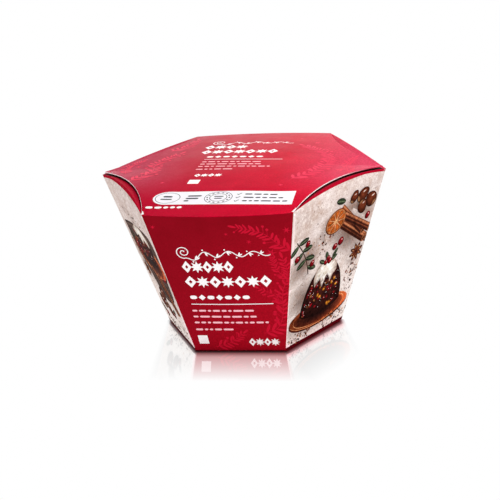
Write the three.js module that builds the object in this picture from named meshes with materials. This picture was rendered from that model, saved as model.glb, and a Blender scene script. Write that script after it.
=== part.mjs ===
// A shut, six-sided food carton of folded board, wider at the top than at the base.
// Millimetres, +Z up. The base rests on z = 0, the front panel faces -Y.
import * as THREE from "three";

// Overall form: a regular hexagon at the top corners and a smaller one at the base
const TOP_SIDE = 75;
const BASE_SIDE = 46.9;
const CORNER_HEIGHT = 83.4;
const BASE_FOLD = 0.8;

// Front and back panels: each swells outward under a straight-looking fold to the lid
const PANEL_BOW = 3.6;
const BOW_POWER = 1.5;
const PANEL_FOLD = 1.0;
const PANEL_TOP_DROP = 4.0;
const SHOULDER_CUT = 0.4;

// Four slanting side panels: an arched crease, with the board bent inward below it.
// The two beside the front panel arch more than the two beside the back panel.
const CREASE_LEAN = 0.27;
const FOLD_OUTER = { in: 0.2, up: 0.5 };
const FOLD_INNER = { in: 0.85, up: 0.55 };
const FRONT_ARCH = { bendDrop: 7.0, creaseIn: 1.3, creaseUp: 3.6, lidEdgeUp: 2.8 };
const BACK_ARCH = { bendDrop: 2.4, creaseIn: 0.3, creaseUp: 0.6, lidEdgeUp: 1.6 };

// Lid panel: crowned, with four cut edges arched over the side panels
const BOARD = 0.5;
const LID_CROWN = 4.2;
const LID_EDGE_IN = 6.0;
const LID_EDGE_POWER = 2.5;
const TIP_IN = 1.4;
const TIP_UP = 1.5;

// Gap between the lid's cut edge and the side flap tucked beneath it
const GAP = 1.0;
const GAP_DEPTH = 5.0;
const GAP_CLOSING_POWER = 6;

// Mesh density
const SLANTING_STEPS = 14;
const STRAIGHT_STEPS = 8;
const WALL_STEPS = [0.3, 0.6, 0.82];
const BEND_STEPS = [0.33, 0.67];
const LID_RINGS = [0.93, 0.8, 0.6, 0.35];
const WELD = 1e-4;

const COLOUR = 0xa5172c;
const ROUGHNESS = 0.45;

const UP = new THREE.Vector3(0, 0, 1);
const CORNERS = 6;

function corner(index, radius, height) {
  const angle = (index * 2 * Math.PI) / CORNERS;
  return new THREE.Vector3(radius * Math.cos(angle), radius * Math.sin(angle), height);
}

function mix(a, b, t) {
  return a.clone().lerp(b, t);
}

function moved(point, ...steps) {
  const out = point.clone();
  for (const [direction, amount] of steps) {
    out.addScaledVector(direction, amount);
  }
  return out;
}

// Rises from 0 at both ends of a side to 1 in its middle
function arch(u) {
  return 4 * u * (1 - u);
}

function bezier(a, control, b, t) {
  return mix(mix(a, control, t), mix(control, b, t), t);
}

// Height of the crowned lid's top face on the line from its centre to an edge point
function onLid(edge, reach) {
  const crown = LID_CROWN * (1 - reach * reach);
  const lift = (edge.z - CORNER_HEIGHT) * reach ** LID_EDGE_POWER;
  return new THREE.Vector3(edge.x * reach, edge.y * reach, CORNER_HEIGHT + crown + lift);
}

// Everything of one side that its upper shape needs, at the share u of its length
function station(side, u) {
  const base = mix(corner(side, BASE_SIDE, 0), corner(side + 1, BASE_SIDE, 0), u);
  const topStart = corner(side, TOP_SIDE, CORNER_HEIGHT);
  const topEnd = corner(side + 1, TOP_SIDE, CORNER_HEIGHT);
  const top = mix(topStart, topEnd, u);
  const out = mix(topStart, topEnd, 0.5).setZ(0).normalize();
  return { base, top, out, rise: arch(u), length: base.distanceTo(top) };
}

// Front and back: the wall bows outward and folds over into the lid
function foldedTop(side, u) {
  const { base, top, out, rise, length } = station(side, u);
  const wall = (share) => {
    const bow = PANEL_BOW * rise * share ** BOW_POWER;
    return moved(mix(base, top, share), [out, bow]);
  };
  const bendShare = 1 - (PANEL_TOP_DROP * rise) / length;
  const foldShare = 1 - (PANEL_FOLD * rise) / length;
  const edge = moved(wall(1), [out, -PANEL_FOLD * rise]);
  const chord = mix(wall(foldShare), edge, 0.5);
  const shoulder = mix(wall(1), chord, SHOULDER_CUT);
  const bend = BEND_STEPS.map((t) => wall(bendShare + (foldShare - bendShare) * t));
  const points = [wall(bendShare), ...bend, wall(foldShare), shoulder, edge];
  return { wall: (share) => wall(share * bendShare), points, gap: [edge, edge, edge, edge], edge };
}

// Slanting sides: the wall bends inward to an arched crease, and a flap runs in under the lid
function arcedTop(side, u, fromTip) {
  const { base, top, out, rise, length } = station(side, u);
  const { bendDrop, creaseIn, creaseUp, lidEdgeUp } = out.y < 0 ? FRONT_ARCH : BACK_ARCH;
  const wall = (share) => mix(base, top, share);
  const bendShare = 1 - (bendDrop * rise) / length;
  const bendLine = wall(bendShare);
  const crease = moved(top, [out, -creaseIn * rise], [UP, creaseUp * rise]);
  const slope = ((TOP_SIDE - BASE_SIDE) * Math.cos(Math.PI / CORNERS)) / CORNER_HEIGHT;
  const drop = (creaseIn - CREASE_LEAN * creaseUp) / (slope + CREASE_LEAN);
  const control = moved(top, [out, -slope * drop * rise], [UP, -drop * rise]);
  const bend = BEND_STEPS.map((t) => bezier(bendLine, control, crease, t));
  const folded = (step) => moved(crease, [out, -step.in * rise], [UP, step.up * rise]);

  const tipward = top.clone().setZ(0).normalize();
  const nearTip = 1 - fromTip;
  const edge = moved(
    top,
    [out, -LID_EDGE_IN * rise],
    [tipward, -TIP_IN * nearTip],
    [UP, lidEdgeUp * rise + TIP_UP * nearTip],
  );
  const open = 1 - fromTip ** GAP_CLOSING_POWER;
  const under = moved(edge, [UP, -BOARD * open]);
  const flapEnd = moved(under, [UP, -GAP * open]);
  const flapMiddle = mix(folded(FOLD_INNER), flapEnd, 0.5);
  const reach = 1 - (GAP_DEPTH * open) / Math.hypot(edge.x, edge.y);
  const pocket = moved(onLid(edge, reach), [UP, -BOARD * open]);
  const points = [bendLine, ...bend, crease, folded(FOLD_OUTER), folded(FOLD_INNER)];
  return {
    wall: (share) => wall(share * bendShare),
    points,
    gap: [flapMiddle, flapEnd, pocket, under],
    edge,
  };
}

// The outline of the carton from the middle of its base, up one line, to the middle of the lid
function column(side, u) {
  const kind = side % 3;
  const top = kind === 1 ? foldedTop(side, u) : arcedTop(side, u, kind === 0 ? u : 1 - u);
  const foldShare = BASE_FOLD / CORNER_HEIGHT;
  const heel = top.wall(foldShare);
  const floorPoint = top.wall(0);
  const inward = 1 - BASE_FOLD / BASE_SIDE;
  const foot = new THREE.Vector3(floorPoint.x * inward, floorPoint.y * inward, 0);
  return [
    new THREE.Vector3(0, 0, 0),
    foot,
    heel,
    ...WALL_STEPS.map(top.wall),
    ...top.points,
    ...top.gap,
    top.edge,
    ...LID_RINGS.map((reach) => onLid(top.edge, reach)),
    new THREE.Vector3(0, 0, CORNER_HEIGHT + LID_CROWN),
  ];
}

function allColumns() {
  const columns = [];
  for (let side = 0; side < CORNERS; side += 1) {
    const steps = side % 3 === 1 ? STRAIGHT_STEPS : SLANTING_STEPS;
    for (let step = 0; step < steps; step += 1) {
      columns.push(column(side, step / steps));
    }
  }
  return columns;
}

// Joins neighbouring outlines with triangles; points that coincide become one
function skin(columns) {
  const positions = [];
  const known = new Map();
  const indexOf = (point) => {
    const key = point.toArray().map((value) => Math.round(value / WELD)).join(",");
    if (!known.has(key)) {
      known.set(key, positions.length / 3);
      positions.push(point.x, point.y, point.z);
    }
    return known.get(key);
  };
  const grid = columns.map((points) => points.map(indexOf));
  const triangles = [];
  const add = (a, b, c) => {
    if (a !== b && b !== c && a !== c) {
      triangles.push(a, b, c);
    }
  };
  grid.forEach((here, index) => {
    const next = grid[(index + 1) % grid.length];
    for (let row = 0; row + 1 < here.length; row += 1) {
      add(here[row], next[row], next[row + 1]);
      add(here[row], next[row + 1], here[row + 1]);
    }
  });
  const geometry = new THREE.BufferGeometry();
  geometry.setAttribute("position", new THREE.Float32BufferAttribute(positions, 3));
  geometry.setIndex(triangles);
  geometry.computeVertexNormals();
  return geometry;
}

const board = new THREE.MeshStandardMaterial({ color: COLOUR, roughness: ROUGHNESS, metalness: 0 });
const carton = new THREE.Mesh(skin(allColumns()), board);
carton.name = "carton";

const part = new THREE.Group();
part.name = "pudding_carton";
part.add(carton);

export default part;
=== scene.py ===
"""Looks of a shut, six-sided food carton of printed board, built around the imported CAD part.

Shapes are worked out in millimetres, in the CAD frame: the base rests on z = 0 and the front panel
faces -Y. Sides are numbered as in the CAD part: 0 and 2 slant at the back, 1 is the back, 3 and 5
slant at the front, 4 is the front.
"""

import math
import random

import bpy
import numpy as np
from mathutils import Matrix, Vector


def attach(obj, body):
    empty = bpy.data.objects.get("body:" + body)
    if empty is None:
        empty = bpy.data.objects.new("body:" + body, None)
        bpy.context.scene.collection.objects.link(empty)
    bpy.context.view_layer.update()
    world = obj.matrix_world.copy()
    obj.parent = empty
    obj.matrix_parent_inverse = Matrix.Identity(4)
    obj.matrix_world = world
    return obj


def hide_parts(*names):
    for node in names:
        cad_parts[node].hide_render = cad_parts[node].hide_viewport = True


MM = 0.001
BACK_RIGHT, BACK, BACK_LEFT, FRONT_LEFT, FRONT, FRONT_RIGHT = range(6)

# The carton's form, the same values as in the CAD part
TOP_SIDE, BASE_SIDE, CORNER_HEIGHT, BASE_FOLD = 75.0, 46.9, 83.4, 0.8
PANEL_BOW, BOW_POWER, PANEL_FOLD, PANEL_TOP_DROP, SHOULDER_CUT = 3.6, 1.5, 1.0, 4.0, 0.4
CREASE_LEAN = 0.27
FOLD_OUTER, FOLD_INNER = (0.2, 0.5), (0.85, 0.55)  # inward, up
FRONT_ARCH, BACK_ARCH = (7.0, 1.3, 3.6, 2.8), (2.4, 0.3, 0.6, 1.6)  # bend drop, crease in, crease up, lid edge up
BOARD, LID_CROWN, LID_EDGE_IN, LID_EDGE_POWER, TIP_IN, TIP_UP = 0.5, 4.2, 6.0, 2.5, 1.4, 1.5
GAP, GAP_CLOSING_POWER = 1.0, 6

# Detail that only the looks have
PANEL_HEIGHT = 86.9  # along the slanting board, from the base to the top corners' line
LID_RADIUS = 65  # from the lid's middle to the middle of a side
COS_30, INVERSE_COS_30, TAN_30 = 0.866, 1.1547, 0.57735
FOLD_RADIUS, FOOT_FOLD = 0.9, 0.6  # radius of the upright folds at the top, and the share of it at the foot
ROUNDING_START = 0, 0.015  # share of the wall over which the rounding sets in
BEND_CRISPNESS = 0.55  # 0 leaves the slanting sides' bend a smooth curve, 1 breaks it at the bend line
GAP_DEPTH = 13.0
CUT_LIP, LEFT_LIP, LIP_LOSS, LIP_FADE = 0.25, 0.5, 0.9, (42, 66)  # cut edge seen beside the lid's print, and its x
RIGHT_TIP_DARKENING = 50, 68  # x
WALL_WAVE, LID_WAVE = 0.13, 0.16
OFF_FOLDS, OFF_FOOT, BELOW_TOP, TO_LID_EDGE = (0, 0.5), (0, 0.12), (0.82, 0.93), (0.6, 0.97)  # where the waves fade
RED_FOOT = 0.025  # share of the wall that the red border takes at the base
RED_CREASE = 0.90  # where along the bend the red starts again
TIP_BAND, TIP_BAND_SHARE = 1.3, 0.45  # red band below the crease at a tip: its width there, its share of the side
SCUFF_PLACE = (36.2, 85.4)  # on the slanting side, beside the front corner

# Mesh density: shares of what the rows run along, close together where it bends
WELD_STEPS_PER_MM = 1000  # points within one step become one
NEAR_CORNER = [0, 0.12, 0.25, 0.4, 0.6, 0.9, 1.3, 1.9, 2.7, 3.8, 5.2, 7.0, 9.0]
MID_SIDE = list(np.linspace(9.0, 66.0, 30)[1:-1])
STATIONS = np.array(NEAR_CORNER + MID_SIDE + [TOP_SIDE - d for d in reversed(NEAR_CORNER)]) / TOP_SIDE
BASE_ROWS, FOOT_ROWS = (0.0, 0.3, 0.6, 0.8, 0.9, 0.96), (0, 0.25, 0.5, 0.75)
WALL_ROWS = [0.012, RED_FOOT, 0.035, 0.045, 0.065] + list(np.linspace(0.09, 1, 56))[:-1]
PANEL_BEND_ROWS, PANEL_FOLD_ROWS = (0, 0.3, 0.6, 0.85), np.linspace(0, 1, 9)
BEND_ROWS = (0, 0.12, 0.25, 0.38, 0.5, 0.62, 0.74, 0.83, RED_CREASE, 0.95, 1.0)
CREASE_STEPS = (0.05, 0.3), FOLD_OUTER, (0.45, 0.6), FOLD_INNER
LID_REACH = [1 - 0.5 / LID_RADIUS, 1 - 0.9 / LID_RADIUS, 0.98, 0.96] + list(np.linspace(0.94, 0.06, 40)) + [0.0]
PRINT_STEP, LONGEST_EDGE = 1.3, 2.2

# Print
FIRST_LIFT, LEVEL_LIFT = 0.05, 0.012  # height of the print over the board, and what each level adds
LIGHT_FROM = math.radians(60)  # where the drawn things are lit from
LID_TILT, BAND_TILT = math.radians(-3.2), math.radians(-2.0)  # the lid's printed block and label stand a little askew
BAND_LEFT, BAND_RIGHT, BAND_HALF = -28.2, 35.3, 7.8
MARK_LEVEL, CRUMB_LEVEL = 2, 3

# The camera that the photograph was fitted to (pixels of a 500 pixel picture, millimetres, degrees)
PHOTO_SIZE, FOCAL_PIXELS = 500, 1649.56
CAMERA_DISTANCE, CAMERA_ELEVATION, CAMERA_AZIMUTH, CAMERA_ROLL = 869.2, 20.4036, 12.2156, -5.0124
CAMERA_TARGET = (0.72, 0.0, 39.98)
SENSOR = 36.0

# Studio light: name, place, aim (metres), size (metres), watts
SOFTBOXES = (
    ("left_light", (-0.85, -0.05, 0.48), (0, 0, 0.05), (0.6, 0.6), 3.1),
    ("right_light", (0.34, -0.06, 0.48), (0.04, 0, 0.08), (0.35, 0.35), 2.4),
    ("top_light", (0.15, 0.15, 1.2), (0, 0, 0.05), (0.7, 0.7), 0.9),
    ("back_light", (0.35, 0.95, 0.42), (0.04, 0, 0.08), (0.7, 0.4), 2.0),
    ("low_light", (0.30, -0.50, 0.07), (0.03, -0.04, 0.02), (0.25, 0.12), 0.35),
)
WORLD_COLOUR = (1.0, 0.99, 0.985, 1)
WORLD_LOW, WORLD_HIGH, WORLD_RIGHT, WORLD_LEFT, WORLD_BACK = 1.0, 0.12, 1.55, 1.2, (3.2, 1.2)

# The floor; distances in mm unless they say metres
FLOOR_HALF, FLOOR_CELLS, FLOOR_GAP = 4.0, 8, 0.00002  # metres: half its side, and how far it lies under the base
FOOT_RADIUS = BASE_SIDE * math.cos(math.pi / 6)
MIRROR_FADE = 36.0  # from the foot, over which the reflection fades out
MIRROR_FRONT, MIRROR_SIDES, MIRROR_FOOT, FOOT_FADE = 0.60, 0.34, 0.8, 5
CONTACT_FRONT, CONTACT_LEFT, CONTACT_RIGHT = 8.5, 2.6, 6.5  # from the foot, over which the floor's glow fades towards it: a painted contact shadow
WHITE, FRONT_PAINTED_REFLECTION = (1, 1, 1, 1), (1.0, 0.62, 0.64, 1.0)  # the floor's white, and the pink painted into its glow in front of the carton: painted reflection of the red front
RIGHT_PAINTED_REFLECTION, RIGHT_PAINTED_REFLECTION_REACH = (1.0, 0.36, 0.42, 1.0), 8.5  # pink painted into the floor's glow and mirror by the right foot, and how far it reaches: painted reflection and shade
REFLECTION_SHEAR = 0.216  # sideways shift of a reflection, per mm in front of its foot
FRONT_FLARE, SIDE_FLARE = 0.07, 0.125  # how the reflections of the front panel and of the whole carton widen

UP = np.array((0.0, 0.0, 1.0))


def srgb(r, g, b, a=1.0):
    def linear(value):
        value /= 255
        return value / 12.92 if value <= 0.04045 else ((value + 0.055) / 1.055) ** 2.4
    return (linear(r), linear(g), linear(b), a)


# ---- form

def corner(index, radius, z):
    angle = math.radians(60 * index)
    return np.array((radius * math.cos(angle), radius * math.sin(angle), z))


def unit(vectors):
    return vectors / np.maximum(np.linalg.norm(vectors, axis=-1, keepdims=True), 1e-12)


def along(direction, amount):
    return direction * np.asarray(amount, float)[..., None]


def moved(point, *steps):
    for direction, amount in steps:
        point = point + along(direction, amount)
    return point


def lerp(a, b, t):
    return a + along(b - a, t)


def bezier(a, control, b, t):
    return lerp(lerp(a, control, t), lerp(control, b, t), t)


def smoothstep(value, low, high):
    t = np.clip((value - low) / (high - low), 0, 1)
    return t * t * (3 - 2 * t)


def rise_of(u):
    """0 at both ends of a side, 1 in its middle"""
    return 4 * u * (1 - u)


def panel_width(share):
    return BASE_SIDE + (TOP_SIDE - BASE_SIDE) * share


def waves(a, b, seed):
    """Slow waves of a printed board, about -1 to 1; a and b are in mm"""
    slow = np.sin(a / 11.0 + seed) * np.sin(b / 14.0 + 1.7 * seed)
    return (slow + 0.6 * np.sin((a + 0.6 * b) / 7.3 + 2.3 * seed) + 0.4 * np.sin((b - 0.4 * a) / 5.1 + 0.9 * seed)) / 2


class Side:
    """One of the six side panels; u runs from 0 to 1 along it, share from 0 at the base to 1 at the top corners"""

    def __init__(self, index):
        self.index = index
        self.folded = index % 3 == 1
        angle = math.radians(60 * index + 30)
        self.out = np.array((math.cos(angle), math.sin(angle), 0.0))
        self.slope = (TOP_SIDE - BASE_SIDE) * math.cos(math.pi / 6) / CORNER_HEIGHT
        self.normal = unit(self.out - UP * self.slope)
        self.front = self.out[1] < 0
        self.bend_drop, self.crease_in, self.crease_up, self.lid_edge_up = FRONT_ARCH if self.front else BACK_ARCH
        if self.folded:
            self.bend_drop = PANEL_TOP_DROP

    def ends(self, u):
        base, top = (lerp(corner(self.index, radius, z), corner(self.index + 1, radius, z), u)
                     for radius, z in ((BASE_SIDE, 0), (TOP_SIDE, CORNER_HEIGHT)))
        return base, top, rise_of(u)

    def from_tip(self, u):
        """Share of the way from the carton's left or right tip"""
        return u if self.index % 3 == 0 else 1 - u

    def wall(self, u, share):
        base, top, rise = self.ends(u)
        point = lerp(base, top, share)
        if self.folded:
            point = moved(point, (self.out, PANEL_BOW * rise * np.maximum(share, 0) ** BOW_POWER))
        return self.eased(point, u, share)

    def eased(self, point, u, share):
        """Adds the board's slow waves, and rounds the folds at both ends of the panel"""
        width = panel_width(np.minimum(share, 1))
        fade = smoothstep(rise_of(u), *OFF_FOLDS) * smoothstep(share, *OFF_FOOT) * (1 - smoothstep(share, *BELOW_TOP))
        wave = WALL_WAVE * fade * waves((u - 0.5) * width, share * PANEL_HEIGHT, 1.0 + self.index)
        point = moved(point, (self.normal, wave))
        radius = FOLD_RADIUS * (FOOT_FOLD + (1 - FOOT_FOLD) * np.minimum(share, 1))
        for end, distance in ((0, u * width), (1, (1 - u) * width)):
            q = np.minimum(COS_30 * distance, radius / 2)
            inward = -INVERSE_COS_30 * radius + np.sqrt(radius**2 - q**2) + TAN_30 * q
            radial = unit(corner(self.index + end, 1, 0))
            point = moved(point, (radial, np.minimum(inward, 0) * smoothstep(share, *ROUNDING_START)))
        return point

    def share_below(self, u, drop):
        """Where a line runs that sags this many mm below the top corners' line in the middle of the side"""
        base, top, rise = self.ends(u)
        return 1 - drop * rise / np.linalg.norm(top - base, axis=-1)

    def bend_share(self, u):
        return self.share_below(u, self.bend_drop)

    def bend(self, u, t):
        """A slanting side's bend from its bend line (t = 0) to the arched crease (t = 1)"""
        base, top, rise = self.ends(u)
        line = lerp(base, top, self.bend_share(u))
        crease = moved(top, (self.out, -self.crease_in * rise), (UP, self.crease_up * rise))
        drop = (self.crease_in - CREASE_LEAN * self.crease_up) / (self.slope + CREASE_LEAN)
        control = moved(top, (self.out, -self.slope * drop * rise), (UP, -drop * rise))
        curve = bezier(line, control, crease, t)
        point = curve + BEND_CRISPNESS * (lerp(line, crease, t) - curve)
        return self.eased(point, u, 1.0)

    def bend_length(self, u):
        return np.maximum(np.linalg.norm(self.bend(u, 1.0) - self.bend(u, 0.0), axis=-1), 1e-6)

    def fold_point(self, u, step):
        """On the folded crease, at step (mm inward, mm up) from its outer line"""
        inward, up = step
        return moved(self.bend(u, 1.0), (self.out, -inward * rise_of(u)), (UP, up * rise_of(u)))

    def lid_edge(self, u):
        """Top of the lid's edge over this side"""
        base, top, rise = self.ends(u)
        if self.folded:
            return moved(self.wall(u, 1.0), (self.out, -PANEL_FOLD * rise))
        near_tip = 1 - self.from_tip(u)
        tipward = unit(top * (1, 1, 0))
        edge = moved(top, (self.out, -LID_EDGE_IN * rise), (UP, self.lid_edge_up * rise), (UP, TIP_UP * near_tip),
                     (tipward, -TIP_IN * near_tip))
        return self.eased(edge, u, 1.0)


SIDES = [Side(index) for index in range(6)]


def lid_height(x, y, reach, edge_z):
    crown = LID_CROWN * (1 - reach**2)
    lift = (edge_z - CORNER_HEIGHT) * np.maximum(reach, 0) ** LID_EDGE_POWER
    return CORNER_HEIGHT + crown + lift + LID_WAVE * (1 - smoothstep(reach, *TO_LID_EDGE)) * waves(x, y, 4.4)


def on_lid(edge, reach):
    x, y = edge[..., 0] * reach, edge[..., 1] * reach
    return np.stack((x, y, lid_height(x, y, np.full_like(x, reach), edge[..., 2])), -1)


def rows_of(side):
    """Grid of a side from the middle of the base to the middle of the lid, and the piece each strip belongs to"""
    u, edge, bend_share = STATIONS, side.lid_edge(STATIONS), side.bend_share(STATIONS)
    picture = f"print_side_{side.index}"
    rows, names = [], []

    def add(name, *points):
        rows.extend(points)
        names.extend([name] * len(points))

    # the foot's rounding, and on the picture sides the red border just above it, are near black-red: the border is
    # print, its darkness is painted contact shade
    def add_wall(points, share):
        add("board_wrap" if side.folded else "foot_borders" if share < RED_FOOT else picture, points)

    heel = side.wall(u, BASE_FOLD / CORNER_HEIGHT * bend_share)
    foot = side.wall(u, 0.0) * (1 - BASE_FOLD / BASE_SIDE)
    foot[:, 2] = 0
    add("base_panel", *(foot * share for share in BASE_ROWS))
    for turn in FOOT_ROWS:
        angle = turn * math.pi / 2
        point = lerp(foot, heel, math.sin(angle))
        point[:, 2] = BASE_FOLD * (1 - math.cos(angle))
        add("foot_borders" if turn else "base_panel", point)
    add_wall(heel, 0)
    for share in WALL_ROWS:
        add_wall(side.wall(u, share * bend_share), share)

    if side.folded:
        fold_share = side.share_below(u, PANEL_FOLD)
        add("board_wrap", *(side.wall(u, bend_share + (fold_share - bend_share) * t) for t in PANEL_BEND_ROWS))
        start = side.wall(u, fold_share)
        chord = lerp(start, edge, 0.5)
        control = 2 * lerp(side.wall(u, 1.0), chord, SHOULDER_CUT) - chord
        add("board_wrap", *(bezier(start, control, edge, t) for t in PANEL_FOLD_ROWS))
    else:
        flap = "lid_flaps" if side.front else "back_flaps"
        for t in BEND_ROWS:
            add(flap if t >= RED_CREASE else picture, side.bend(u, t))
        add(flap, *(side.fold_point(u, step) for step in CREASE_STEPS))
        openness = 1 - side.from_tip(u) ** GAP_CLOSING_POWER
        under = moved(edge, (UP, -BOARD * openness))
        flap_end = moved(under, (UP, -GAP * openness))
        reach = 1 - GAP_DEPTH * openness / np.hypot(edge[:, 0], edge[:, 1])
        pocket = moved(on_lid(edge, reach), (UP, -BOARD * openness))
        for name, a, b, shares in (
            (flap, side.fold_point(u, FOLD_INNER), flap_end, (0.2, 0.5, 0.8)),
            ("lid_reverse", flap_end, pocket, (0, 0.25, 0.5)),
            ("lid_reverse", pocket, under, (0, 0.35, 0.7)),
            ("cut_edges", under, edge, (0, 0.3, 0.7)),
        ):
            add(name, *(lerp(a, b, t) for t in shares))
        add("cut_edges" if side.front else flap, edge)
    # the cut edge shows beside the lid's print, least at the right tip
    lip = CUT_LIP * np.where(edge[:, 0] < 0, LEFT_LIP, 1 - LIP_LOSS * smoothstep(edge[:, 0], *LIP_FADE))
    add("board_wrap", on_lid(edge, 1 - lip / LID_RADIUS), *(on_lid(edge, reach) for reach in LID_REACH))
    return np.array(rows), names


# ---- meshes

def new_object(name, data):
    made = bpy.data.objects.new(name, data)
    bpy.context.scene.collection.objects.link(made)
    return made


def make_piece(name, points, faces, normals, material, inks=None):
    mesh = bpy.data.meshes.new(name)
    mesh.from_pydata((np.asarray(points) * MM).tolist(), [], faces)
    mesh.polygons.foreach_set("use_smooth", [True] * len(mesh.polygons))
    if inks is not None:
        attribute = mesh.color_attributes.new("ink", "FLOAT_COLOR", "POINT")
        attribute.data.foreach_set("color", np.asarray(inks, np.float32).ravel())
    mesh.normals_split_custom_set_from_vertices(np.asarray(normals).tolist())
    mesh.materials.append(material)
    piece = new_object(name, mesh)
    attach(piece, "root")
    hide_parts("carton")


def build_shell(materials):
    """Welds the six sides, takes smooth normals over the whole carton, and splits it into pieces"""
    index_of, points, faces_of = {}, [], {}

    def weld(point):
        key = tuple(np.round(point * WELD_STEPS_PER_MM).astype(int))
        if key not in index_of:
            index_of[key] = len(points)
            points.append(point)
        return index_of[key]

    for side in SIDES:
        grid, names = rows_of(side)
        ids = [[weld(point) for point in row] for row in grid]
        for here, above, name in zip(ids, ids[1:], names):
            faces = faces_of.setdefault(name, [])
            for c in range(len(here) - 1):
                loop = [here[c], here[c + 1], above[c + 1], above[c]]
                ring = [v for i, v in enumerate(loop) if v != loop[i - 1]]
                if len(set(ring)) == len(ring) >= 3:
                    faces.append(ring)
    points = np.array(points)
    normals = np.zeros_like(points)
    for faces in faces_of.values():
        for face in faces:
            a, b, c = points[face[0]], points[face[1]], points[face[-1]]
            normals[face] += np.cross(points[face[2]] - a, c - b) if len(face) == 4 else np.cross(b - a, c - a)
    normals = unit(normals)
    for name, faces in sorted(faces_of.items()):
        used = sorted({v for face in faces for v in face})
        new = {v: i for i, v in enumerate(used)}
        inks = np.zeros((len(used), 4))
        if name == "cut_edges":  # alpha turns the cut edge darker and pinker towards the right tip
            inks[:, 3] = smoothstep(points[used][:, 0], *RIGHT_TIP_DARKENING)
        elif not name.startswith("print_side"):  # alpha, from which way the board faces, tells the walls' deeper red (painted shade) from the lid's
            inks[:, 3] = 1 - smoothstep(normals[used][:, 2], 0.0, 0.85)
        make_piece(name, points[used], [[new[v] for v in face] for face in faces], normals[used], materials(name), inks)


# ---- print

def with_normals(point):
    """Gives a surface's normal along with its point"""
    def surface(x, y):
        d = 0.05
        normal = unit(np.cross(point(x + d, y) - point(x - d, y), point(x, y + d) - point(x, y - d)))
        return point(x, y), normal

    return surface


def panel_surface(side):
    """Maps x (mm from the panel's middle) and h (mm up the board) to points and normals of a side panel"""
    def point(x, h):
        share = h / PANEL_HEIGHT
        u = np.clip(0.5 + x / panel_width(share), 0, 1)
        if side.folded:
            return side.wall(u, share)
        bend_share = side.bend_share(u)
        t = np.clip((share - bend_share) * PANEL_HEIGHT / side.bend_length(u), 0, 1)
        return np.where((share <= bend_share)[..., None], side.wall(u, share), side.bend(u, t))

    return with_normals(point)


def lid_surface():
    """Maps x and y to points and normals of the lid"""
    edges = np.concatenate([side.lid_edge(STATIONS[:-1]) for side in SIDES])
    angles = np.unwrap(np.arctan2(edges[:, 1], edges[:, 0]))
    angles = np.append(angles, angles[0] + 2 * math.pi)
    edges = np.vstack((edges, edges[:1]))

    def point(x, y):
        angle = np.mod(np.arctan2(y, x) - angles[0], 2 * math.pi) + angles[0]
        edge_x, edge_y, edge_z = (np.interp(angle, angles, edges[:, axis]) for axis in range(3))
        reach = np.hypot(x, y) / np.hypot(edge_x, edge_y)
        return np.stack((x, y, lid_height(x, y, reach, edge_z)), -1)

    return with_normals(point)


PANELS, LID = [panel_surface(side) for side in SIDES], lid_surface()


def pairs(xs, ys):
    return np.stack((xs, ys), -1)


def placed(points, x=0.0, y=0.0, angle=0.0):
    c, s = math.cos(angle), math.sin(angle)
    return np.asarray(points, float) @ np.array(((c, s), (-s, c))) + (x, y)


def ahead(distance, x, y, angle):
    """The place this far from x, y at this angle"""
    return placed([(distance, 0)], x, y, angle)[0]


def lengths_along(path):
    return np.concatenate(([0], np.cumsum(np.linalg.norm(np.diff(path, axis=0), axis=1))))


def at_length(path, lengths, marks):
    return pairs(*(np.interp(marks, lengths, path[:, axis]) for axis in (0, 1)))


def grid_faces(rows, columns, flipped=False):
    """Faces of a grid whose points are listed row by row"""
    corners = (0, 1, columns + 1, columns) if flipped else (0, columns, columns + 1, 1)
    return [[r * columns + c + step for step in corners] for r in range(rows - 1) for c in range(columns - 1)]


def oval(rx, ry, angles, x=0.0, y=0.0):
    return pairs(x + rx * np.cos(angles), y + ry * np.sin(angles))


def full_turn(count):
    return np.linspace(0, 2 * math.pi, count, endpoint=False)


def ellipse(rx, ry, count, rough=0.0, seed=0):
    rng = random.Random(seed)
    phases = [rng.uniform(0, 6.28) for _ in range(3)]
    angles = full_turn(count)
    uneven = sum(size * np.sin(n * angles + phase) for size, n, phase in zip((1, 0.6, 0.5), (2, 3, 5), phases))
    wobble = 1 + rough * uneven
    return oval(rx * wobble, ry * wobble, angles)


def leaf_outline(length, width, count=14):
    t = np.linspace(0, math.pi, count)
    upper = pairs(length * (1 - np.cos(t)) / 2, width / 2 * np.sin(t) ** 1.2)
    return np.vstack((upper, upper[-2:0:-1] * (1, -1)))


def star_outline(radius, points, waist):
    radii = np.where(np.arange(2 * points) % 2 == 0, radius, radius * waist)
    return cut_up(oval(radii, radii, full_turn(2 * points) + math.pi / 2), 2)


def lozenge(half_width, half_height):
    return cut_up([(0, -half_height), (half_width, 0), (0, half_height), (-half_width, 0)], longest=1.5)


def box_outline(x0, y0, x1, y1, lean=0.0):
    parts = max(1, int(max(x1 - x0, y1 - y0) / 1.5)) + 1
    return cut_up([(x0, y0), (x1, y0), (x1 + lean, y1), (x0 + lean, y1)], parts)


def cut_up(outline, parts=None, longest=LONGEST_EDGE):
    """The same closed outline with each edge cut into this many parts, or into parts no longer than this"""
    outline = np.asarray(outline, float)
    cut = []
    for a, b in zip(outline, np.roll(outline, -1, axis=0)):
        count = parts or max(1, math.ceil(np.linalg.norm(b - a) / longest))
        cut += [a + (b - a) * k / count for k in range(count)]
    return np.array(cut)


def curve_through(points, per_span):
    """Smooth curve through the points (Catmull-Rom)"""
    p = np.asarray(points, float)
    p = np.vstack((2 * p[0] - p[1], p, 2 * p[-1] - p[-2]))
    t = np.linspace(0, 1, per_span, endpoint=False)[:, None]
    spans = [0.5 * (2 * b + (c - a) * t + (2 * a - 5 * b + 4 * c - d) * t**2 + (3 * b - a - 3 * c + d) * t**3)
             for a, b, c, d in zip(p, p[1:], p[2:], p[3:])]
    return np.vstack(spans + [p[-2:-1]])


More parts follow.
